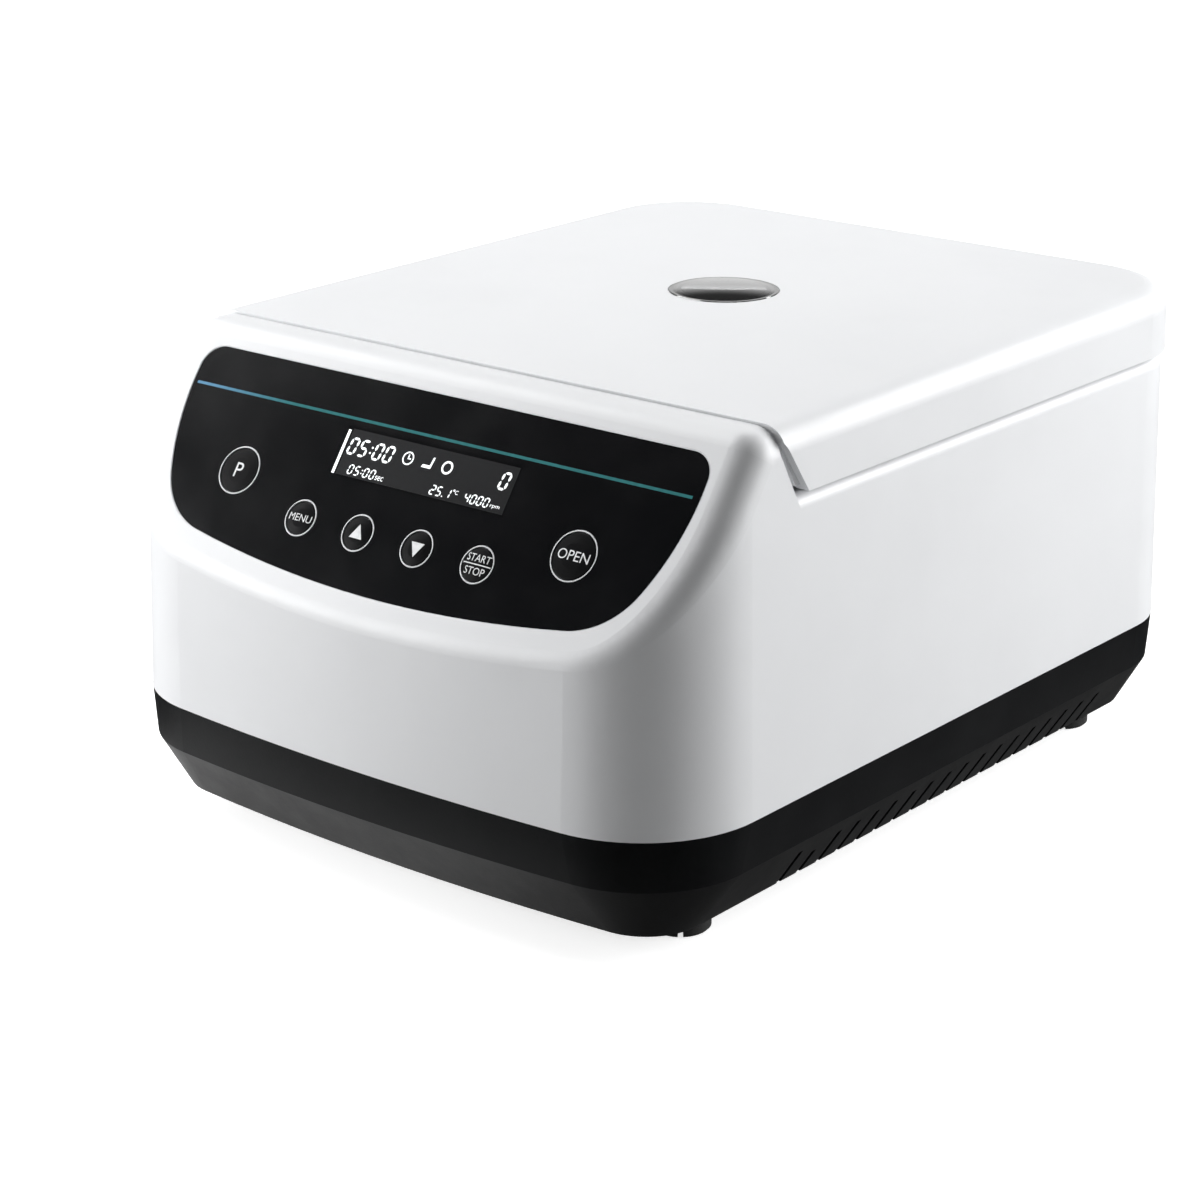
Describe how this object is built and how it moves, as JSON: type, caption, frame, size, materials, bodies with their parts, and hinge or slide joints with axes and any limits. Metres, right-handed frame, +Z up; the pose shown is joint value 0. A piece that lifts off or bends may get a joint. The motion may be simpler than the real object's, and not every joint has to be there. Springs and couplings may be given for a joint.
{
  "type": "cytocentrifuge",
  "caption": "Bench centrifuge with a sloping control panel and a rear-hinged lid over a rotor with swing-out slide carriers.",
  "frame": {"origin": "on the bench, under the middle of the cabinet's bounding box", "axes": "+X to the operator's right, +Y to the rear, +Z up"},
  "size_m": [0.29, 0.38, 0.2006],
  "materials": {
    "white_shell": "satin",
    "charcoal_shell": "satin",
    "rubber": "matte",
    "steel": "satin",
    "stainless": "brushed",
    "cast_aluminium": "cast",
    "anodised_aluminium": "anodised",
    "fascia_black": "gloss",
    "smoked_window": "gloss",
    "dark_plastic": "matte",
    "ring_metal": "polished",
    "circuit_board": "satin",
    "liner_grey": "satin",
    "clear_glass": "polished",
    "filter_card": "matte",
    "chamber_plastic": "gloss",
    "key_face": "satin"
  },
  "bodies": {
    "cabinet": {"upper_housing": "white_shell", "base_tray": "charcoal_shell", "rubber_feet": "rubber", "case_screws": "steel", "chamber_bowl": "stainless", "chamber_gasket": "rubber", "motor": "cast_aluminium", "motor_plate": "steel", "vibration_dampers": "rubber", "shaft_boot": "rubber", "control_fascia": "fascia_black", "display_window": "smoked_window", "display_module": "dark_plastic", "key_rings": "ring_metal", "control_board": "circuit_board", "key_switches": "dark_plastic", "drive_board": "circuit_board", "heat_sink": "cast_aluminium", "power_inlet": "dark_plastic", "switch_frame": "dark_plastic", "latch_frame": "steel", "latch_solenoid": "steel", "hinge_leaves": "stainless", "hinge_pins": "stainless"},
    "lid": {"lid_shell": "white_shell", "lid_liner": "liner_grey", "sight_glass": "clear_glass", "sight_tube": "dark_plastic", "lid_striker": "stainless", "liner_screws": "steel", "lid_hinge_leaves": "stainless"},
    "rotor": {"motor_shaft": "steel", "rotor_head": "anodised_aluminium", "rotor_nut": "dark_plastic", "trunnion_pins": "stainless"},
    "carrier_1": {"slide_carrier_1": "stainless", "glass_slide_1": "clear_glass", "filter_card_1": "filter_card", "sample_chamber_1": "chamber_plastic"},
    "carrier_2": {"slide_carrier_2": "stainless", "glass_slide_2": "clear_glass", "filter_card_2": "filter_card", "sample_chamber_2": "chamber_plastic"},
    "carrier_3": {"slide_carrier_3": "stainless", "glass_slide_3": "clear_glass", "filter_card_3": "filter_card", "sample_chamber_3": "chamber_plastic"},
    "carrier_4": {"slide_carrier_4": "stainless", "glass_slide_4": "clear_glass", "filter_card_4": "filter_card", "sample_chamber_4": "chamber_plastic"},
    "program_key": {"program_key": "key_face"},
    "menu_key": {"menu_key": "key_face"},
    "up_key": {"up_key": "key_face"},
    "down_key": {"down_key": "key_face"},
    "start_stop_key": {"start_stop_key": "key_face"},
    "open_key": {"open_key": "key_face"},
    "latch_hook": {"latch_hook": "steel"},
    "plunger": {"solenoid_plunger": "steel"},
    "rocker": {"power_rocker": "dark_plastic"}
  },
  "joints": [
    {"name": "lid_open", "type": "hinge", "parent": "cabinet", "child": "lid", "pos_m": [0, 0.187, 0.172], "axis": [-1, 0, 0], "range_deg": [0, 75]},
    {"name": "rotor_spin", "type": "hinge", "parent": "cabinet", "child": "rotor", "pos_m": [0, 0.038, 0.1], "axis": [0, 0, 1], "continuous": true},
    {"name": "carrier_swing_1", "type": "hinge", "parent": "rotor", "child": "carrier_1", "pos_m": [0.056, 0.038, 0.15], "axis": [0, -1, 0], "range_deg": [0, 90]},
    {"name": "carrier_swing_2", "type": "hinge", "parent": "rotor", "child": "carrier_2", "pos_m": [0, 0.094, 0.15], "axis": [1, 0, 0], "range_deg": [0, 90]},
    {"name": "carrier_swing_3", "type": "hinge", "parent": "rotor", "child": "carrier_3", "pos_m": [-0.056, 0.038, 0.15], "axis": [0, 1, 0], "range_deg": [0, 90]},
    {"name": "carrier_swing_4", "type": "hinge", "parent": "rotor", "child": "carrier_4", "pos_m": [0, -0.018, 0.15], "axis": [-1, 0, 0], "range_deg": [0, 90]},
    {"name": "program_press", "type": "slide", "parent": "cabinet", "child": "program_key", "axis": [0, 0.8125, -0.583], "range_m": [0, 0.0008], "stiffness_N_per_m": 300, "springref_m": -0.001},
    {"name": "menu_press", "type": "slide", "parent": "cabinet", "child": "menu_key", "axis": [0, 0.8125, -0.583], "range_m": [0, 0.0008], "stiffness_N_per_m": 300, "springref_m": -0.001},
    {"name": "up_press", "type": "slide", "parent": "cabinet", "child": "up_key", "axis": [0, 0.8125, -0.583], "range_m": [0, 0.0008], "stiffness_N_per_m": 300, "springref_m": -0.001},
    {"name": "down_press", "type": "slide", "parent": "cabinet", "child": "down_key", "axis": [0, 0.8125, -0.583], "range_m": [0, 0.0008], "stiffness_N_per_m": 300, "springref_m": -0.001},
    {"name": "start_stop_press", "type": "slide", "parent": "cabinet", "child": "start_stop_key", "axis": [0, 0.8125, -0.583], "range_m": [0, 0.0008], "stiffness_N_per_m": 300, "springref_m": -0.001},
    {"name": "open_press", "type": "slide", "parent": "cabinet", "child": "open_key", "axis": [0, 0.8125, -0.583], "range_m": [0, 0.0008], "stiffness_N_per_m": 300, "springref_m": -0.001},
    {"name": "latch_turn", "type": "hinge", "parent": "cabinet", "child": "latch_hook", "pos_m": [0, -0.105, 0.138], "axis": [-1, 0, 0], "range_deg": [0, 18]},
    {"name": "plunger_slide", "type": "slide", "parent": "cabinet", "child": "plunger", "axis": [0, 0, 1], "range_m": [0, 0.0033]},
    {"name": "rocker_tip", "type": "hinge", "parent": "cabinet", "child": "rocker", "pos_m": [0.036, 0.184, 0.085], "axis": [1, 0, 0], "range_deg": [0, 16]}
  ],
  "couplings": [
    {"joint": "latch_turn", "follows": "plunger_slide", "rad_per_m": 95.19}
  ]
}
